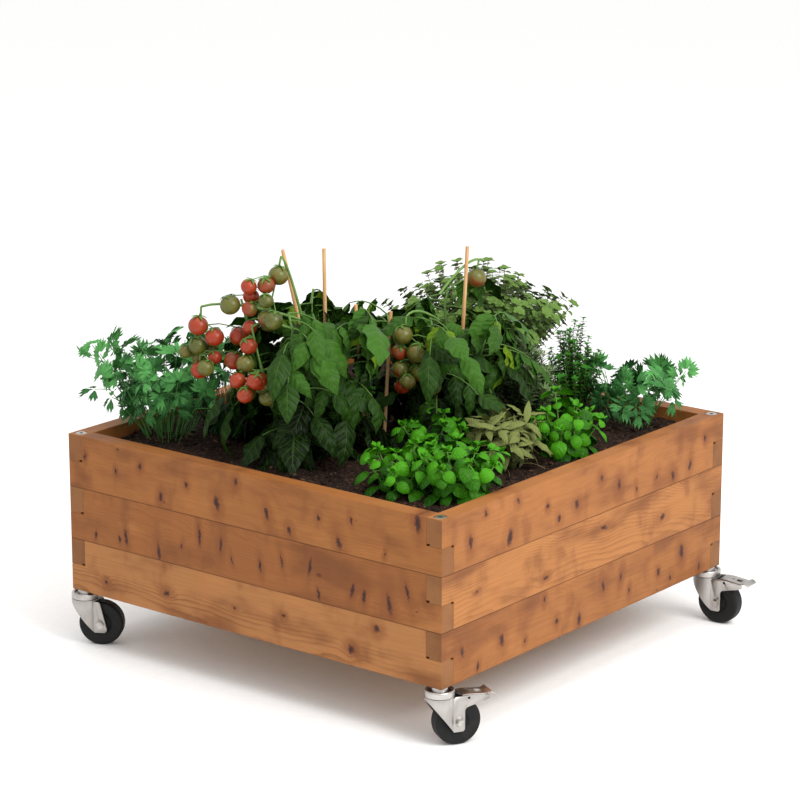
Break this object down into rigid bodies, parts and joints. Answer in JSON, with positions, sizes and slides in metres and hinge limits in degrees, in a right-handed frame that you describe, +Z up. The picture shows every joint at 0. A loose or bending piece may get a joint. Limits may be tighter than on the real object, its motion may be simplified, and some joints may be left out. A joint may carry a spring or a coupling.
{
  "type": "wheeled raised planter",
  "caption": "Square box of half-lapped timber boards on swivel casters with brakes, filled with soil, herbs and staked tomatoes.",
  "frame": {"origin": "on the floor, under the middle of the square box", "axes": "+Z up; +X towards the side whose two casters have brakes; -Y towards the front, the long lap ends showing there"},
  "size_m": [1.199, 1.0637, 0.9158],
  "materials": {
    "larch": "satin",
    "floor_wood": "matte",
    "zinc_steel": "satin",
    "pressed_steel": "satin",
    "wheel_plastic": "matte",
    "tyre_rubber": "matte",
    "liner_sheet": "matte",
    "soil": "matte",
    "bamboo": "satin",
    "tomato_leaf": "matte",
    "tomato_skin": "gloss",
    "parsley_leaf": "matte",
    "chive_leaf": "matte",
    "oregano_leaf": "matte",
    "thyme_leaf": "matte",
    "rosemary_leaf": "matte",
    "sage_leaf": "matte",
    "basil_leaf": "satin"
  },
  "bodies": {
    "planter": {"board_front_low": "larch", "board_front_mid": "larch", "board_front_top": "larch", "board_back_low": "larch", "board_back_mid": "larch", "board_back_top": "larch", "board_left_low": "larch", "board_left_mid": "larch", "board_left_top": "larch", "board_right_low": "larch", "board_right_mid": "larch", "board_right_top": "larch", "tie_bolts": "zinc_steel", "sleeve_nuts": "zinc_steel", "floor_bearers": "floor_wood", "floor_slats": "floor_wood", "slat_screws": "zinc_steel", "liner": "liner_sheet", "swivel_balls": "zinc_steel", "caster_head_front_right": "pressed_steel", "caster_head_front_left": "pressed_steel", "caster_head_back_right": "pressed_steel", "caster_head_back_left": "pressed_steel", "soil": "soil", "stakes": "bamboo", "tomato_left": "tomato_leaf", "tomato_right": "tomato_leaf", "tomato_fruit": "tomato_skin", "parsley_left": "parsley_leaf", "parsley_right": "parsley_leaf", "chives": "chive_leaf", "oregano": "oregano_leaf", "thyme": "thyme_leaf", "rosemary": "rosemary_leaf", "sage": "sage_leaf", "basil": "basil_leaf"},
    "fork_front_right": {"fork_front_right": "pressed_steel", "axle_front_right": "zinc_steel", "brake_pin_front_right": "zinc_steel"},
    "wheel_front_right": {"wheel_core_front_right": "wheel_plastic", "tyre_front_right": "tyre_rubber"},
    "fork_front_left": {"fork_front_left": "pressed_steel", "axle_front_left": "zinc_steel"},
    "wheel_front_left": {"wheel_core_front_left": "wheel_plastic", "tyre_front_left": "tyre_rubber"},
    "fork_back_right": {"fork_back_right": "pressed_steel", "axle_back_right": "zinc_steel", "brake_pin_back_right": "zinc_steel"},
    "wheel_back_right": {"wheel_core_back_right": "wheel_plastic", "tyre_back_right": "tyre_rubber"},
    "fork_back_left": {"fork_back_left": "pressed_steel", "axle_back_left": "zinc_steel"},
    "wheel_back_left": {"wheel_core_back_left": "wheel_plastic", "tyre_back_left": "tyre_rubber"},
    "pedal_front_right": {"brake_pedal_front_right": "pressed_steel", "brake_shoe_front_right": "wheel_plastic"},
    "pedal_back_right": {"brake_pedal_back_right": "pressed_steel", "brake_shoe_back_right": "wheel_plastic"}
  },
  "joints": [
    {"name": "swivel_front_right", "type": "hinge", "parent": "planter", "child": "fork_front_right", "pos_m": [0.5, -0.5, 0.11], "axis": [0, 0, 1], "continuous": true},
    {"name": "wheel_spin_front_right", "type": "hinge", "parent": "fork_front_right", "child": "wheel_front_right", "pos_m": [0.518, -0.46882, 0.05], "axis": [-0.866, 0.5, 0], "continuous": true},
    {"name": "brake_front_right", "type": "hinge", "parent": "fork_front_right", "child": "pedal_front_right", "pos_m": [0.528, -0.4515, 0.102], "axis": [-0.866, 0.5, 0], "range_deg": [0, 14]},
    {"name": "swivel_front_left", "type": "hinge", "parent": "planter", "child": "fork_front_left", "pos_m": [-0.5, -0.5, 0.11], "axis": [0, 0, 1], "continuous": true},
    {"name": "wheel_spin_front_left", "type": "hinge", "parent": "fork_front_left", "child": "wheel_front_left", "pos_m": [-0.46947, -0.48092, 0.05], "axis": [-0.5299, 0.848, 0], "continuous": true},
    {"name": "swivel_back_right", "type": "hinge", "parent": "planter", "child": "fork_back_right", "pos_m": [0.5, 0.5, 0.11], "axis": [0, 0, 1], "continuous": true},
    {"name": "wheel_spin_back_right", "type": "hinge", "parent": "fork_back_right", "child": "wheel_back_right", "pos_m": [0.53591, 0.50251, 0.05], "axis": [-0.0698, 0.9976, 0], "continuous": true},
    {"name": "brake_back_right", "type": "hinge", "parent": "fork_back_right", "child": "pedal_back_right", "pos_m": [0.55586, 0.50391, 0.102], "axis": [-0.0698, 0.9976, 0], "range_deg": [0, 14]},
    {"name": "swivel_back_left", "type": "hinge", "parent": "planter", "child": "fork_back_left", "pos_m": [-0.5, 0.5, 0.11], "axis": [0, 0, 1], "continuous": true},
    {"name": "wheel_spin_back_left", "type": "hinge", "parent": "fork_back_left", "child": "wheel_back_left", "pos_m": [-0.53263, 0.48479, 0.05], "axis": [0.4226, -0.9063, 0], "continuous": true}
  ]
}
